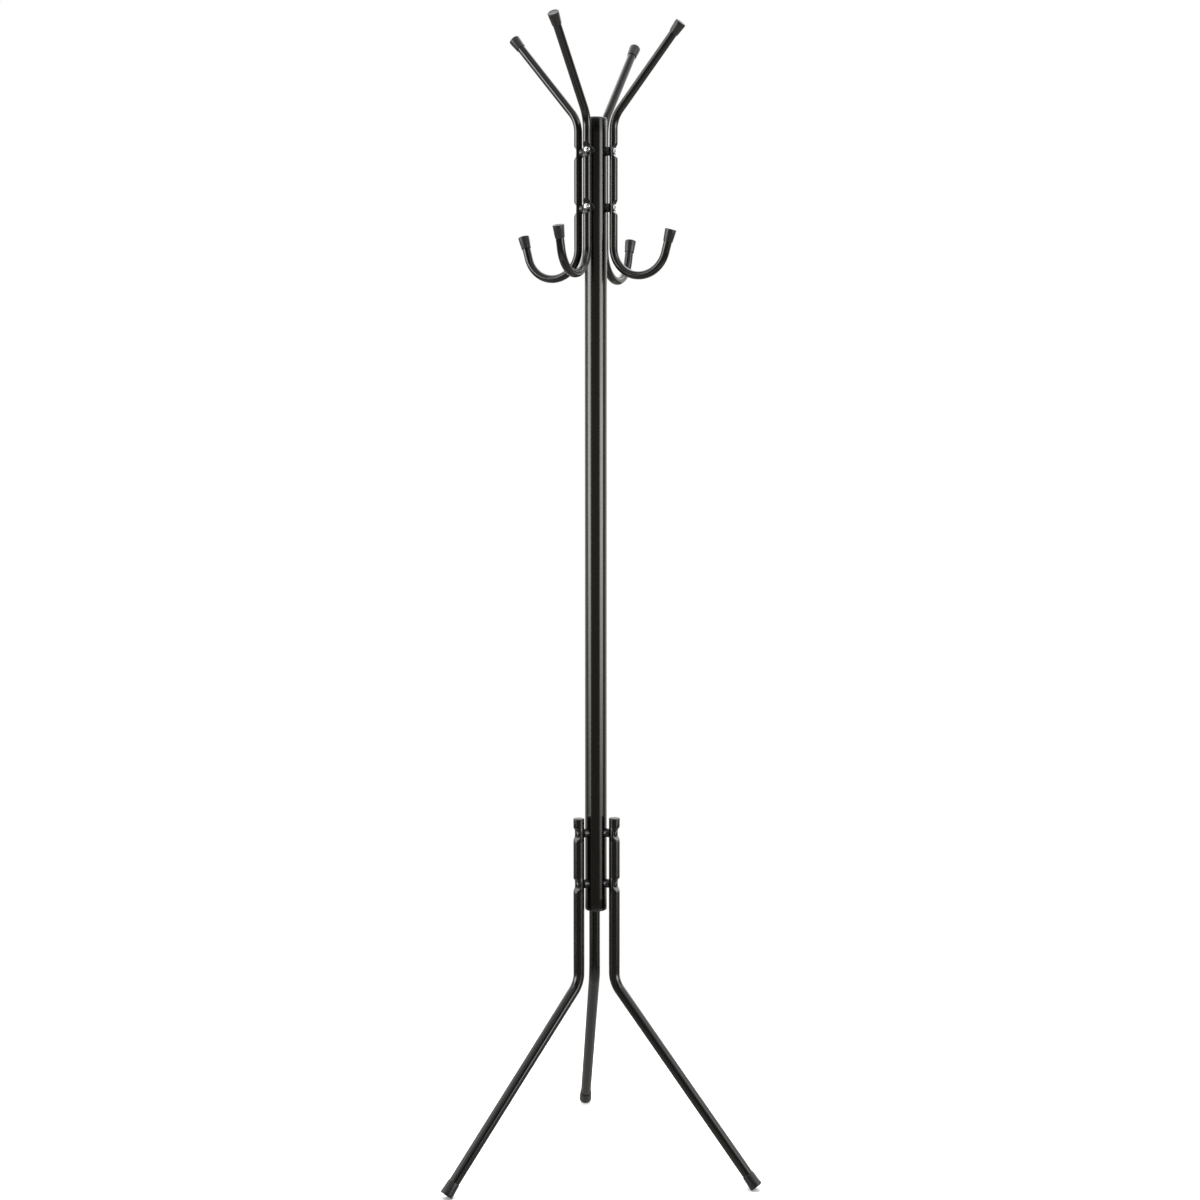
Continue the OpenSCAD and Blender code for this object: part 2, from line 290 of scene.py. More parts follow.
PRONG_RUN = run_past(
    RACK_HEIGHT - CAP_END_R * math.sin(math.radians(PRONG_LEAN)) - PRONG_BEND_Z, PRONG_BEND, PRONG_LEAN,
)
LEG_RUN = run_past(
    LEG_BEND_Z - (FOOT_END_R * math.sin(math.radians(LEG_LEAN)) - FOOT_FLAT), LEG_BEND, LEG_LEAN,
)


def hook_path():
    """Rows along a hook tube from its prong to its hook."""
    above, inside, below = PRONG_FADE
    prong = (HOOK_AXIS, PRONG_BEND_Z, 1, PRONG_BEND)
    rows = [
        station(*prong, PRONG_LEAN, s, oval_past(s, above))
        for s in np.linspace(PRONG_RUN - CAP_FLOOR, 4, 24)
    ]
    rows += [
        station(*prong, degrees, 0, oval_inside(degrees, PRONG_LEAN, inside))
        for degrees in bend_steps(PRONG_LEAN)[::-1]
    ]
    over_hook, inside, past_hook = HOOK_FADE
    bottom = HOOK_BOTTOM + HOOK_BEND
    hook = (HOOK_AXIS, bottom, -1, HOOK_BEND)
    for z in upright_heights(PRONG_BEND_Z - 2, bottom + 2, HOOK_HEIGHTS):
        share = max(oval_past(PRONG_BEND_Z - z, below), oval_past(z - bottom, over_hook))
        rows.append((HOOK_AXIS, z, 1.0, 0.0, share))
    sweep = 180 - HOOK_LEAN
    rows += [station(*hook, degrees, 0, oval_inside(degrees, sweep, inside)) for degrees in bend_steps(sweep)]
    rows += [
        station(*hook, sweep, s, oval_past(s, past_hook)) for s in np.linspace(3, HOOK_END - CAP_FLOOR, 10)
    ]
    return rows


def leg_path():
    """Rows along a leg from its upper end to its foot."""
    above, inside, below = LEG_FADE
    leg = (LEG_AXIS, LEG_BEND_Z, -1, LEG_BEND)
    rows = [
        (LEG_AXIS, z, 1.0, 0.0, oval_past(z - LEG_BEND_Z, above))
        for z in upright_heights(LEG_TOP - LEG_PLUG_RIM, LEG_BEND_Z + 2, LEG_HEIGHTS)
    ]
    rows += [
        station(*leg, degrees, 0, oval_inside(degrees, LEG_LEAN, inside)) for degrees in bend_steps(LEG_LEAN)
    ]
    rows += [
        station(*leg, LEG_LEAN, s, oval_past(s, below)) for s in np.linspace(3, LEG_RUN - FOOT_FLOOR, 40)
    ]
    return rows


def upright_heights(top, bottom, seats):
    """Heights down an upright stretch: close together at the pressed seats, and far apart between."""
    marks = {top, bottom}
    for seat in seats:
        steps = np.arange(-SEAT_SPAN, SEAT_SPAN + 0.1, SEAT_STEP)
        marks |= {seat + step for step in steps if bottom < seat + step < top}
    far = np.arange(bottom, top, FAR_STEP)
    marks |= {z for z in far if all(abs(z - seat) > SEAT_CLEAR for seat in seats)}
    return sorted(marks, reverse=True)


def press(z, seats, crown):
    """How far a tube is pressed in at a height, from 0 to 1. The crown is the share that the press
    still reaches just above the upper seat."""
    near = min(abs(z - seat) for seat in seats)
    amount = 1 - smooth((near - SEAT_FLAT) / (SEAT_REACH - SEAT_FLAT))
    above = z - seats[0]
    if above <= 0:
        return amount
    return max(amount, crown * (1 - smooth((above - CROWN_HOLD) / CROWN_FADE)))


def bent_tube(path, radius, wall, seats, depth, crown, bulge, ovality, segments=40):
    """Hollow tube along a path in the XZ plane. Bending leaves it a little oval, and each pressed
    seat flattens its outer side, by a depth, and pushes its flanks out."""
    angles = np.arange(segments) * 2 * math.pi / segments
    skins = []
    for inset in (0.0, wall):
        r = radius - inset
        skin = []
        for x, z, nx, nz, bend in path:
            u = r * np.cos(angles) * (1 - ovality * bend)
            v = r * np.sin(angles) * (1 + 0.5 * ovality * bend)
            upright = nx == 1.0
            amount = press(z, seats, crown) if upright else 0.0
            if amount > 0:
                plane = radius - depth * amount - inset + RAMP_LIFT * (1 - amount)
                flank = np.clip((np.cos(angles) + FLANK_START) / FLANK_START, 0, 1)
                flank = flank * flank * (3 - 2 * flank)
                v = v * (1 + bulge * amount * flank)
                u = soft_min(u, plane, SEAT_ROUNDING)
            skin.append(np.stack([x + u * nx, v, z + u * nz], axis=1))
        skins.append(skin)
    outer, inner = skins
    rings = outer + inner[::-1]
    loops = [list(range(k * segments, (k + 1) * segments)) for k in range(len(rings))]
    pairs = zip(loops, loops[1:] + loops[:1])
    return np.vstack(rings), [face for low, high in pairs for face in between(low, high)]


def drill(radius, low, high):
    """Plain rod about Z that cuts a hole."""
    return turned([(0, low), (radius, low), (radius, high), (0, high)], 32)


def drilled(tube, axis, heights):
    """Drills the screw holes through both walls of a tube."""
    rod = drill(SCREW_R + SCREW_CLEARANCE, -20, 20)
    return cut(tube, [placed(rod, radial(axis, height)) for height in heights])


# ---------------------------------------------------------------- turned and moulded parts
def push_cap(length, mouth_r, end_r, bore_r, floor, edge, dish):
    """Flared cap with a dished end at the origin, its mouth below, and a parting line on each side."""
    outline = rounded([
        (0, -dish, 0), (end_r - edge - DISH_INSET, -dish, 0.8), (end_r - edge - RIM_INSET, 0, 0.5),
        (end_r, 0, edge), (end_r - FLARE_FALL, -0.3 * length, 12.0), (mouth_r, -length, 0.4),
        (bore_r, -length, 0.25), (bore_r, -floor, 0.4), (0, -floor, 0),
    ])
    segments = 72
    line = np.zeros(segments)
    line[[0, segments // 2]] = PARTING_LINE
    rings = []
    for radius, height in outline:
        outside = radius > bore_r + 0.05 and -length + 0.4 < height < -edge
        rings.append((radius + line if outside else radius, height))
    return turned(rings, segments)


def tube_plug(rim_r, rim, edge, bore_r, stem, wall, dome, segments=72):
    """Plug with a domed, rounded rim above the origin and a ribbed hollow stem below it."""
    core, inner = bore_r - RIB_DEPTH, bore_r - wall
    corners = [(0, rim + dome, 0), (rim_r * 0.6, rim + 0.6 * dome, rim_r), (rim_r, rim - 0.2, edge)]
    corners += [(rim_r, 0, 0.3), (core, 0, 0.2)]
    height = -FIRST_RIB
    while height > 2.5 - stem:
        corners += [(core, height + RIB_HALF, 0.2), (bore_r, height, 0.2), (core, height - RIB_HALF, 0.2)]
        height -= RIB_PITCH
    corners += [(core, -stem, 0.5), (inner, -stem, 0.3), (inner, -0.8, 0.5), (0, -0.8, 0)]
    return turned(rounded(corners), segments)


def cross_cutter(top):
    """Tapered cross that cuts a driver's recess into a screw head."""
    points = []
    for height, (arm, half) in ((top + 0.4, CROSS_MOUTH), (top - CROSS_DEPTH, CROSS_FLOOR)):
        for quarter in range(4):
            a = math.pi / 2 * quarter
            for x, y in ((arm, -half), (arm, half), (half, half)):
                points.append((
                    x * math.cos(a) - y * math.sin(a), x * math.sin(a) + y * math.cos(a), height,
                ))
    sides = [[i, (i + 1) % 12, (i + 1) % 12 + 12, i + 12] for i in range(12)]
    return np.array(points), sides + [list(range(12)), list(range(23, 11, -1))]


def screw(length):
    """Pan head screw with its seat at the origin, its head above and its thread below."""
    segments = 40
    phase = np.arange(segments) / segments
    rings = [(0.0, -length), (SCREW_R - TIP_INSET, -length)]
    tip, neck = -length + THREAD_DEPTH, -NECK
    for height in np.arange(tip, neck, PITCH / THREAD_STEPS):
        start, end = (height - tip) / THREAD_RUN_OUT, (neck - height) / THREAD_RUN_OUT
        saw = np.abs(((height / PITCH - phase) % 1.0) * 2 - 1)
        crest = min(smooth(start), smooth(end)) * np.clip(CREST * saw, 0, 1)
        rings.append((SCREW_R - THREAD_DEPTH * (1 - crest), height))
    rings += [(SCREW_R - THREAD_DEPTH, neck), (SCREW_R - 0.35, -0.3), (SCREW_R, 0.0)]
    head = rounded([
        (SCREW_R, 0, 0), (HEAD_R, 0, 0.2), (HEAD_R, 0.8, 0.4),
        (3.8, 1.75, 1.2), (2.0, HEAD_H, 4.0), (0, HEAD_H, 0),
    ], steps=8)
    return cut(turned(rings + head[1:], segments), [cross_cutter(HEAD_H)])


def saddle(tube_axis, tube_r):
    """Spacer about its own Z axis, which points away from the pole: hollowed to the pole below and to
    the tube above, drilled for the screw and recessed for the nut's flange."""
    segments = 64
    side = np.abs(np.sin(np.arange(segments) * 2 * math.pi / segments))

    def pole_face(radius):
        return np.sqrt(POLE_R ** 2 - (radius * side) ** 2)

    def tube_face(radius):
        across = np.minimum(radius * side, tube_r)
        wrap = POLE_R + SPACER_GAP + SPACER_WRAP
        return np.minimum(tube_axis - np.sqrt(tube_r ** 2 - across ** 2), wrap)

    bore = SCREW_R + SCREW_CLEARANCE
    recess, recess_r = POLE_R + NUT_FLANGE, NUT_FLANGE_R + 0.1
    # From the bore out along the pole's side, up the wall and back along the tube's side, with each
    # outer edge broken in two steps.
    rings = [(bore, recess), (recess_r, recess), (recess_r, pole_face(recess_r))]
    rings += [(r, pole_face(r)) for r in (5.7, SPACER_R - 0.3)]
    rings += [(SPACER_R - 0.09, pole_face(SPACER_R) + 0.09), (SPACER_R, pole_face(SPACER_R) + 0.3)]
    rings += [(SPACER_R, tube_face(SPACER_R) - 0.4), (SPACER_R - 0.12, tube_face(SPACER_R) - 0.12)]
    rings += [(r, tube_face(r)) for r in (SPACER_R - 0.4, 5.6, 5.0, 4.4, 3.8, bore)]
    return turned(rings, segments)


# ---------------------------------------------------------------- materials
def add(tree, kind, settings=None, inputs=None):
    """A new node. An input is a number, or another node's socket to link from."""
    node = tree.nodes.new(kind)
    for key, value in (settings or {}).items():
        setattr(node, key, value)
    for key, value in (inputs or {}).items():
        if isinstance(value, bpy.types.NodeSocket):
            tree.links.new(value, node.inputs[key])
        else:
            node.inputs[key].default_value = value
    return node


def material(name, constants):
    """A new material, with its nodes and with constants on its shader's own sockets."""
    made = bpy.data.materials.new(name)
    made.use_nodes = True
    shader = made.node_tree.nodes["Principled BSDF"]
    for socket, value in constants.items():
        shader.inputs[socket].default_value = value
    return made, made.node_tree


def place(tree, stretch=(1, 1, 1)):
    """The object's own coordinates, in metres. A small factor draws a texture out on that axis."""
    coords = add(tree, "ShaderNodeTexCoord").outputs["Object"]
    return add(tree, "ShaderNodeMapping", inputs={"Vector": coords, "Scale": stretch}).outputs["Vector"]


def noise(tree, vector, scale, detail=3.0, rough=0.55):
    inputs = {"Vector": vector, "Scale": scale, "Detail": detail, "Roughness": rough}
    return add(tree, "ShaderNodeTexNoise", inputs=inputs).outputs["Fac"]


def ranged(tree, value, low, high, to_low, to_high):
    inputs = {"Value": value, "From Min": low, "From Max": high, "To Min": to_low, "To Max": to_high}
    return add(tree, "ShaderNodeMapRange", inputs=inputs).outputs["Result"]


def math_of(tree, operation, first, second):
    return add(tree, "ShaderNodeMath", {"operation": operation}, {0: first, 1: second}).outputs[0]


def mixed(tree, share, first, second):
    node = add(tree, "ShaderNodeMix", {"data_type": "RGBA"}, {0: share, 6: first, 7: second})
    return node.outputs[2]


def bumped(tree, height, distance, strength=1.0, under=None):
    inputs = {"Height": height, "Distance": distance, "Strength": strength}
    if under:
        inputs["Normal"] = under
    return add(tree, "ShaderNodeBump", inputs=inputs).outputs["Normal"]


def dressed(made, colour, roughness, normal):
    """Joins a colour, a roughness and a normal to a material's shader."""
    tree = made.node_tree
    shader = tree.nodes["Principled BSDF"]
    for socket, value in (("Base Color", colour), ("Roughness", roughness), ("Normal", normal)):
        tree.links.new(value, shader.inputs[socket])
    return made


def enamel():
    """Gloss black stove enamel: faint orange peel, cloudy gloss, long rub marks and a little dust."""
    made, tree = material("black_enamel", {"Metallic": 0.0, "IOR": 1.5})
    here, drawn_out = place(tree), place(tree, (1, 1, 0.06))
    cloud = noise(tree, here, 7.0, 4.0)
    dust = ranged(tree, noise(tree, here, 620.0, 2.0), 0.74, 0.8, 0.0, 1.0)
    rubs = ranged(tree, noise(tree, drawn_out, 260.0, 4.0, 0.6), 0.5, 0.85, 0.0, 1.0)
    tone = mixed(tree, cloud, (0.0014, 0.0013, 0.0011, 1), (0.0028, 0.0026, 0.0022, 1))
    colour = mixed(tree, dust, tone, (0.022, 0.021, 0.019, 1))
    gloss = ranged(tree, cloud, 0.3, 0.7, 0.15, 0.2)
    gloss = math_of(tree, "ADD", gloss, math_of(tree, "MULTIPLY", rubs, 0.09))
    gloss = math_of(tree, "ADD", gloss, math_of(tree, "MULTIPLY", dust, 0.15))
    peel = bumped(tree, noise(tree, here, 480.0, 2.0), 0.000006, 0.3)
    waves = bumped(tree, noise(tree, here, 95.0, 2.0), 0.00009, 0.22, peel)
    return dressed(made, colour, gloss, waves)


def moulded(name, dark, light, gloss, grain, grain_depth):
    """Moulded black plastic: mottled tone, spark-eroded grain and a few handling scuffs."""
    made, tree = material(name, {"Metallic": 0.0, "IOR": 1.46})
    here, drawn_out = place(tree), place(tree, (1, 1, 0.25))
    cloud = noise(tree, here, 60.0, 4.0)
    scuff = ranged(tree, noise(tree, drawn_out, 330.0, 5.0, 0.65), 0.6, 0.72, 0.0, 1.0)
    tone = mixed(tree, cloud, dark + (1,), light + (1,))
    worn = tuple(2.2 * c for c in light) + (1,)
    colour = mixed(tree, math_of(tree, "MULTIPLY", scuff, 0.4), tone, worn)
    rough = ranged(tree, cloud, 0.3, 0.7, gloss - 0.05, gloss + 0.05)
    rough = math_of(tree, "ADD", rough, math_of(tree, "MULTIPLY", scuff, 0.12))
    fine = bumped(tree, noise(tree, here, grain, 3.0), grain_depth, 0.8)
    return dressed(made, colour, rough, bumped(tree, cloud, 0.00006, 0.4, fine))


def rubber():
    """Black rubber that has picked up dust close to the floor."""
    made, tree = material("foot_rubber", {"Metallic": 0.0, "IOR": 1.5})
    here = place(tree)
    cloud = noise(tree, here, 110.0, 5.0, 0.6)
    height = add(tree, "ShaderNodeSeparateXYZ", inputs={0: here}).outputs["Z"]
    low = ranged(tree, height, 0.0003, 0.004, 1.0, 0.0)
    dusty = math_of(tree, "MULTIPLY", low, ranged(tree, cloud, 0.42, 0.65, 0.0, 0.5))
    tone = mixed(tree, cloud, (0.002, 0.002, 0.0019, 1), (0.005, 0.005, 0.0048, 1))
    colour = mixed(tree, dusty, tone, (0.035, 0.033, 0.03, 1))
    rough = ranged(tree, cloud, 0.3, 0.7, 0.24, 0.36)
    fine = bumped(tree, noise(tree, here, 1500.0, 3.0), 0.00002, 0.8)
    return dressed(made, colour, rough, bumped(tree, cloud, 0.00008, 0.4, fine))


def plated(name, bright, dull, gloss):
    """Plated steel: tone clouded by the plating, faint turning marks and tarnished specks."""
    made, tree = material(name, {"Metallic": 1.0})
    here, squeezed = place(tree), place(tree, (1, 1, 6.0))
    cloud = noise(tree, here, 240.0, 4.0, 0.6)
    specks = ranged(tree, noise(tree, here, 1300.0, 2.0), 0.66, 0.72, 0.0, 1.0)
    tone = mixed(tree, cloud, dull + (1,), bright + (1,))
    colour = mixed(tree, specks, tone, tuple(0.45 * c for c in dull) + (1,))
    rough = ranged(tree, cloud, 0.3, 0.7, gloss + 0.07, gloss - 0.05)
    return dressed(made, colour, rough, bumped(tree, noise(tree, squeezed, 900.0, 3.0), 0.00002, 0.7))


def studio_floor():
    """Matt white floor that fades into the white round it, and is dimmer in reflections."""
    made, tree = material("studio_floor", {"Metallic": 0.0, "Roughness": 0.9, "IOR": 1.3})
    shader = tree.nodes["Principled BSDF"]
    here = place(tree)
    grain = noise(tree, here, 3.0, 4.0)
    tone = mixed(tree, grain, (0.86, 0.86, 0.86, 1), (0.9, 0.9, 0.9, 1))
    tree.links.new(tone, shader.inputs["Base Color"])
    far = add(tree, "ShaderNodeVectorMath", {"operation": "LENGTH"}, {0: here}).outputs["Value"]
    fade = ranged(tree, far, FADE_START, FADE_END, 0.0, 1.0)
    bright = add(tree, "ShaderNodeEmission", inputs={"Color": WHITE, "Strength": 1.0})
    both = add(tree, "ShaderNodeMixShader", inputs={0: fade, 1: shader.outputs[0], 2: bright.outputs[0]})
    mirrored = add(tree, "ShaderNodeEmission", inputs={
        "Color": WARM_WHITE, "Strength": ranged(tree, far, 0.25, FADE_END, 0.55, 0.25),
    })
    path = add(tree, "ShaderNodeLightPath")
    seen = add(tree, "ShaderNodeMixShader", inputs={
        0: path.outputs["Is Glossy Ray"], 1: both.outputs[0], 2: mirrored.outputs[0],
    })
    tree.links.new(seen.outputs[0], tree.nodes["Material Output"].inputs["Surface"])
    return made


ENAMEL = enamel()
CAP = moulded("cap_plastic", (0.0095, 0.0095, 0.0098), (0.015, 0.015, 0.0155), 0.36, 1900.0, 0.00003)
SPACER = moulded("spacer_plastic", (0.006, 0.006, 0.006), (0.01, 0.01, 0.01), 0.22, 1200.0, 0.00001)
RUBBER = rubber()
ZINC = plated("zinc_plate", (0.52, 0.52, 0.53), (0.4, 0.4, 0.41), 0.2)
# The leg screws get a darker steel than the zinc of the hook screws.
DARK_STEEL = plated("dark_leg_screw_steel", (0.1, 0.1, 0.102), (0.055, 0.055, 0.058), 0.34)
YELLOW_ZINC = plated("yellow_zinc", (0.72, 0.64, 0.42), (0.56, 0.5, 0.36), 0.3)


# ---------------------------------------------------------------- pieces
def piece(name, shell, look, node):
    """Puts a shell in a CAD node's place, once it is known to lie where the node does."""
    obj = object_of(name, shell, look)
    points = shell[0] * MM
    low, high = (np.array(corner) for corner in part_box(node))
    off = max(np.abs(points.min(0) - low).max(), np.abs(points.max(0) - high).max())
    if off > MOST_OFF * MM:
        raise RuntimeError(f"{name} is {off / MM:.2f} mm off {node}, which it stands for")
    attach(obj, "root")
    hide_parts(node)


def past(axis, height, sign, bend, angle, run):
    """Frame at a place past a bend, as in station(), with its Z axis along the tube."""
    x, z, across_x, across_z, _ = station(axis, height, sign, bend, angle, run, 0.0)
    along = Vector((-sign * across_z, 0, sign * across_x))
    across = Vector((0, 1, 0))
    axes = Matrix((across.cross(along), across, along)).transposed().to_4x4()
    return Matrix.Translation((x, 0, z)) @ axes


bore = POLE_R - POLE_WALL
pole_low, pole_high = POLE_BOTTOM + PLUG_RIM, POLE_TOP - PLUG_RIM
outline = [(POLE_R, pole_low, POLE_EDGE)]
outline += [(POLE_R, z, 0) for z in np.arange(pole_low + 16, pole_high - 5, 20.0)]
outline += [(r, z, POLE_EDGE) for r, z in ((POLE_R, pole_high), (bore, pole_high), (bore, pole_low))]
pole = turned(rounded(outline, closed=True, steps=3), 96)
rod = drill(NUT_R, 0, 24)
places = [around(HOOKS, i) @ radial(0, z) for i in range(HOOKS) for z in HOOK_HEIGHTS]
places += [around(LEGS, i) @ radial(0, z) for i in range(LEGS) for z in LEG_HEIGHTS]
piece("pole", cut(pole, [placed(rod, p) for p in places]), ENAMEL, "pole_tube")

plug = tube_plug(POLE_R, PLUG_RIM, PLUG_EDGE, bore, PLUG_STEM, PLUG_WALL, 0.2)
top = Matrix.Translation((0, 0, pole_high))
bottom = Matrix.Translation((0, 0, pole_low)) @ Matrix.Rotation(math.pi, 4, "X")
piece("pole_plug_top", placed(plug, top), CAP, "pole_top_plug")
piece("pole_plug_bottom", placed(plug, bottom), CAP, "pole_bottom_plug")

prong_end = past(HOOK_AXIS, PRONG_BEND_Z, 1, PRONG_BEND, PRONG_LEAN, PRONG_RUN)
hook_end = past(HOOK_AXIS, HOOK_BOTTOM + HOOK_BEND, -1, HOOK_BEND, 180 - HOOK_LEAN, HOOK_END)
hook_tube = bent_tube(
    hook_path(), HOOK_R, HOOK_WALL, HOOK_HEIGHTS, HOOK_SEAT, HOOK_CROWN, HOOK_BULGE, HOOK_OVAL,
)
hook_tube = drilled(hook_tube, HOOK_AXIS, HOOK_HEIGHTS)
cap = push_cap(CAP_LENGTH, CAP_MOUTH_R, CAP_END_R, HOOK_R + CAP_SLACK, CAP_FLOOR, 1.0, 0.5)
for i in range(HOOKS):
    spot = around(HOOKS, i)
    n = i + 1
    piece(f"bent_hook_{n}", placed(hook_tube, spot), ENAMEL, f"hook_tube_{n}")
    piece(f"prong_tip_{n}", placed(cap, spot @ prong_end), CAP, f"prong_cap_{n}")
    piece(f"hook_tip_{n}", placed(cap, spot @ hook_end), CAP, f"hook_cap_{n}")

leg_end = past(LEG_AXIS, LEG_BEND_Z, -1, LEG_BEND, LEG_LEAN, LEG_RUN)
leg_tube = bent_tube(
    leg_path(), LEG_R, LEG_WALL, LEG_HEIGHTS, LEG_SEAT, LEG_CROWN, LEG_BULGE, LEG_OVAL, segments=48,
)
leg_tube = drilled(leg_tube, LEG_AXIS, LEG_HEIGHTS)
foot = push_cap(FOOT_LENGTH, FOOT_MOUTH_R, FOOT_END_R, LEG_R + CAP_SLACK, FOOT_FLOOR, 1.5, 0.4)
foot_area = ((200, -40), (320, -40), (320, 40), (200, 40))
under_floor = np.array([(x, y, z) for z in (-40, 0) for x, y in foot_area])
box_faces = [[0, 1, 2, 3], [4, 5, 6, 7], [0, 1, 5, 4], [1, 2, 6, 5], [2, 3, 7, 6], [3, 0, 4, 7]]
foot = cut(placed(foot, leg_end), [(under_floor, box_faces)])
leg_plug = tube_plug(LEG_R, LEG_PLUG_RIM, 1.2, LEG_R - LEG_WALL, LEG_PLUG_STEM, LEG_WALL, 0.15, segments=56)
for i in range(LEGS):
    spot = around(LEGS, i)
    n = i + 1
    plug_spot = spot @ Matrix.Translation((LEG_AXIS, 0, LEG_TOP - LEG_PLUG_RIM))
    piece(f"bent_leg_{n}", placed(leg_tube, spot), ENAMEL, f"leg_tube_{n}")
    piece(f"leg_top_{n}", placed(leg_plug, plug_spot), CAP, f"leg_plug_{n}")
    piece(f"foot_{n}", placed(foot, spot), RUBBER, f"foot_cap_{n}")

for name, count, heights, axis, tube_r, depth, length, metal, slot in (
    ("hook", HOOKS, HOOK_HEIGHTS, HOOK_AXIS, HOOK_R, HOOK_SEAT, HOOK_SCREW_LENGTH, ZINC, "zinc_screw"),
    ("leg", LEGS, LEG_HEIGHTS, LEG_AXIS, LEG_R, LEG_SEAT, LEG_SCREW_LENGTH, DARK_STEEL, "dark_screw"),
):
    fixings = [(around(count, i), z) for i in range(count) for z in heights]
    one = screw(length)
    seat = axis + tube_r - depth
    screws = [placed(one, spot @ radial(seat, z, turn)) for (spot, z), turn in zip(fixings, HEAD_TURNS)]
    piece(f"{name}_pan_screws", joined(screws), metal, f"{name}_screws")
    one = saddle(axis, tube_r)
    spacers = [placed(one, spot @ radial(0, z)) for spot, z in fixings]
    piece(f"{name}_saddles", joined(spacers), SPACER, f"{name}_spacers")

for name in ("hook_nuts", "leg_nuts"):
    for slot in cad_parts[name].material_slots:
        slot.material = YELLOW_ZINC


# ---------------------------------------------------------------- floor, light and camera
def disc(inner, outer, count=128):
    """Flat ring just under the feet, or a whole disc where the inner radius is nought."""
    angles = np.arange(count) * 2 * math.pi / count
    flat = np.stack([np.cos(angles), np.sin(angles), np.zeros(count)], axis=1)
    inside = flat * inner if inner else np.zeros((1, 3))
    start = len(inside)
    faces = []
    for k in range(count):
        n = (k + 1) % count
        near = [n, k] if inner else [0]
        faces.append(near + [start + k, start + n])
    return np.vstack([inside, flat * outer]) - (0, 0, FLOOR_DROP), faces


FLOOR = studio_floor()
floor_near = object_of("floor_near", disc(0, FLOOR_NEAR), FLOOR)
floor_far = object_of("floor_far", disc(FLOOR_NEAR, FLOOR_FAR), FLOOR)
floor_far.visible_glossy = False
floor_far.visible_diffuse = False


def top_light():
    """Large softbox above the rack and aimed at its foot, which neither the camera nor a reflection
    shows."""
    data = bpy.data.lights.new("softbox_top", "AREA")
    data.shape = "RECTANGLE"
    data.size = data.size_y = TOP_SIZE
    data.energy = TOP_WATTS
    lamp = bpy.data.objects.new("softbox_top", data)
    a = math.radians(CAMERA_TURN)
    lamp.location = (TOP_DISTANCE * math.sin(a), -TOP_DISTANCE * math.cos(a), TOP_HEIGHT)
    lamp.rotation_euler = (-lamp.location).to_track_quat("-Z", "Y").to_euler()
    lamp.visible_camera = False
    lamp.visible_glossy = False
    bpy.context.scene.collection.objects.link(lamp)


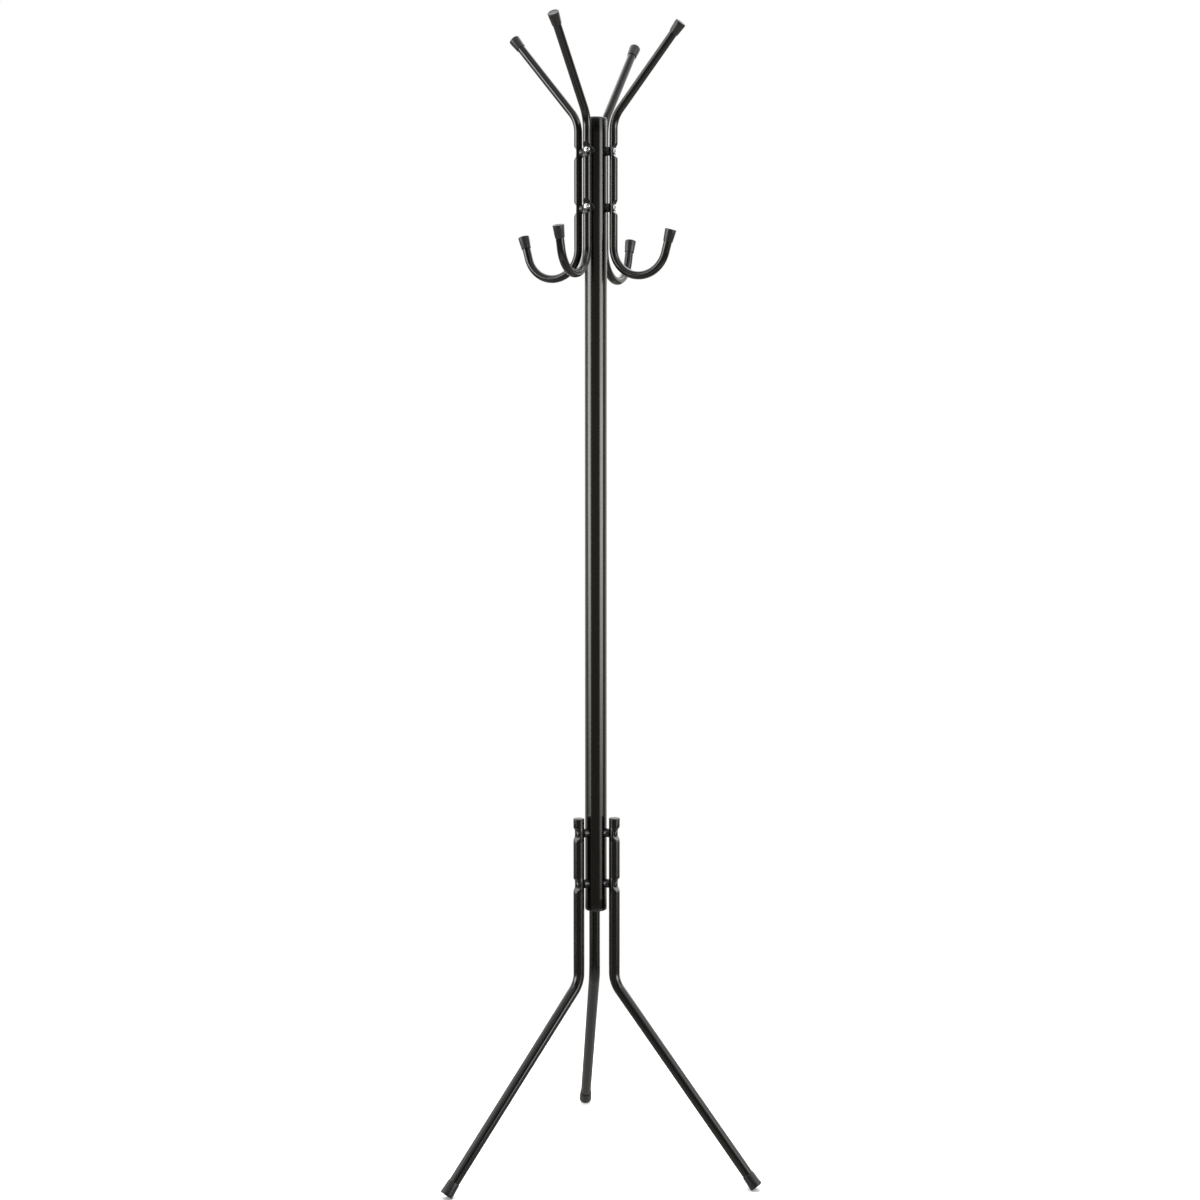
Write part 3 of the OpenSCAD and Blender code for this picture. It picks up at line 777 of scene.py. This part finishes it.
def surroundings():
    """Studio round the rack: white to the camera, and to everything else two tall softboxes at the
    sides, pale walls behind, a pale ceiling and ground, and a dim, warm room. It is worked out from a
    direction's side (0 at the camera, more to the right) and its rise, both in degrees."""
    world = bpy.data.worlds.new("studio")
    bpy.context.scene.world = world
    world.use_nodes = True
    tree = world.node_tree
    coords = add(tree, "ShaderNodeTexCoord").outputs["Generated"]
    turned_back = add(tree, "ShaderNodeMapping", inputs={
        "Vector": coords, "Rotation": (0, 0, -math.radians(CAMERA_TURN)),
    }).outputs["Vector"]
    parts = add(tree, "ShaderNodeSeparateXYZ", inputs={0: turned_back}).outputs
    towards = math_of(tree, "MULTIPLY", parts["Y"], -1.0)
    side = math_of(tree, "MULTIPLY", math_of(tree, "ARCTAN2", parts["X"], towards), 180 / math.pi)
    rise = math_of(tree, "MULTIPLY", math_of(tree, "ARCSINE", parts["Z"], 0.0), 180 / math.pi)

    # Each fade below is given as two angles in degrees and the strengths at them.
    def eased(value, low, high, to_low, to_high):
        node = add(tree, "ShaderNodeMapRange", {"interpolation_type": "SMOOTHSTEP"}, {
            "Value": value, "From Min": low, "From Max": high, "To Min": to_low, "To Max": to_high,
        })
        return node.outputs["Result"]

    def product(*factors):
        result = factors[0]
        for factor in factors[1:]:
            result = math_of(tree, "MULTIPLY", result, factor)
        return result

    def total(*terms):
        result = terms[0]
        for term in terms[1:]:
            result = math_of(tree, "ADD", result, term)
        return result

    def off_centre(middle):
        return math_of(tree, "ABSOLUTE", math_of(tree, "SUBTRACT", side, middle), 0.0)

    def softbox(middle, foot, dimming):
        edges = eased(off_centre(middle), 12.0, 23.0, BOX_STRENGTH, 0.0)
        return product(edges, foot, dimming, eased(rise, 34.0, 46.0, 1.0, 0.0))

    slant = math_of(tree, "MULTIPLY", math_of(tree, "SUBTRACT", side, LEFT_BOX), LEFT_SLANT)
    slanted_rise = math_of(tree, "SUBTRACT", rise, slant)
    foot = eased(slanted_rise, -13.0, -1.0, 0.0, 1.0)
    left = softbox(LEFT_BOX, foot, eased(rise, 8.0, 26.0, 1.0, 0.34))
    foot = eased(rise, -16.0, -0.5, 0.0, 1.0)
    right = softbox(RIGHT_BOX, foot, eased(rise, 0.0, 14.0, 1.0, 0.38))
    walls = product(
        eased(off_centre(0.0), 95.0, 130.0, 0.0, 1.0), eased(side, -120.0, 120.0, 0.75, 1.3),
        eased(rise, -20.0, -8.0, 0.0, 1.0),
    )
    cornice = product(eased(off_centre(0.0), 84.0, 116.0, 0.0, 1.0), eased(rise, 6.0, 22.0, 0.0, 1.0))
    ceiling = product(eased(rise, 20.0, 36.0, 0.0, 0.9), eased(rise, 44.0, 70.0, 1.0, 0.6))
    ground = eased(rise, -45.0, -22.0, 0.6, 0.0)
    strength = total(left, right, walls, cornice, ceiling, ground)
    lamps = add(tree, "ShaderNodeBackground", inputs={"Color": WHITE, "Strength": strength})
    room = add(tree, "ShaderNodeBackground", inputs={
        "Color": WARM,
        "Strength": product(
            eased(rise, 3.0, 9.0, 0.4, 0.2), eased(rise, -10.0, -4.0, 0.55, 1.0),
            eased(rise, 9.0, 15.0, 1.0, 0.1),
        ),
    })
    lit = add(tree, "ShaderNodeAddShader", inputs={0: lamps.outputs[0], 1: room.outputs[0]})
    backdrop = add(tree, "ShaderNodeBackground", inputs={"Color": WHITE, "Strength": 1.0})
    path = add(tree, "ShaderNodeLightPath")
    both = add(tree, "ShaderNodeMixShader", inputs={
        0: path.outputs["Is Camera Ray"], 1: lit.outputs[0], 2: backdrop.outputs[0],
    })
    tree.links.new(both.outputs[0], tree.nodes["World Output"].inputs["Surface"])


top_light()
surroundings()
bpy.context.scene.view_settings.view_transform = "Standard"

camera_data = bpy.data.cameras.new("camera")
camera_data.sensor_width = SENSOR
camera_data.lens = LENS
camera = bpy.data.objects.new("camera", camera_data)
camera.location = CAMERA_PLACE
camera.rotation_euler = (math.radians(CAMERA_TILT), 0.0, math.radians(CAMERA_TURN))
bpy.context.scene.collection.objects.link(camera)
bpy.context.scene.camera = camera
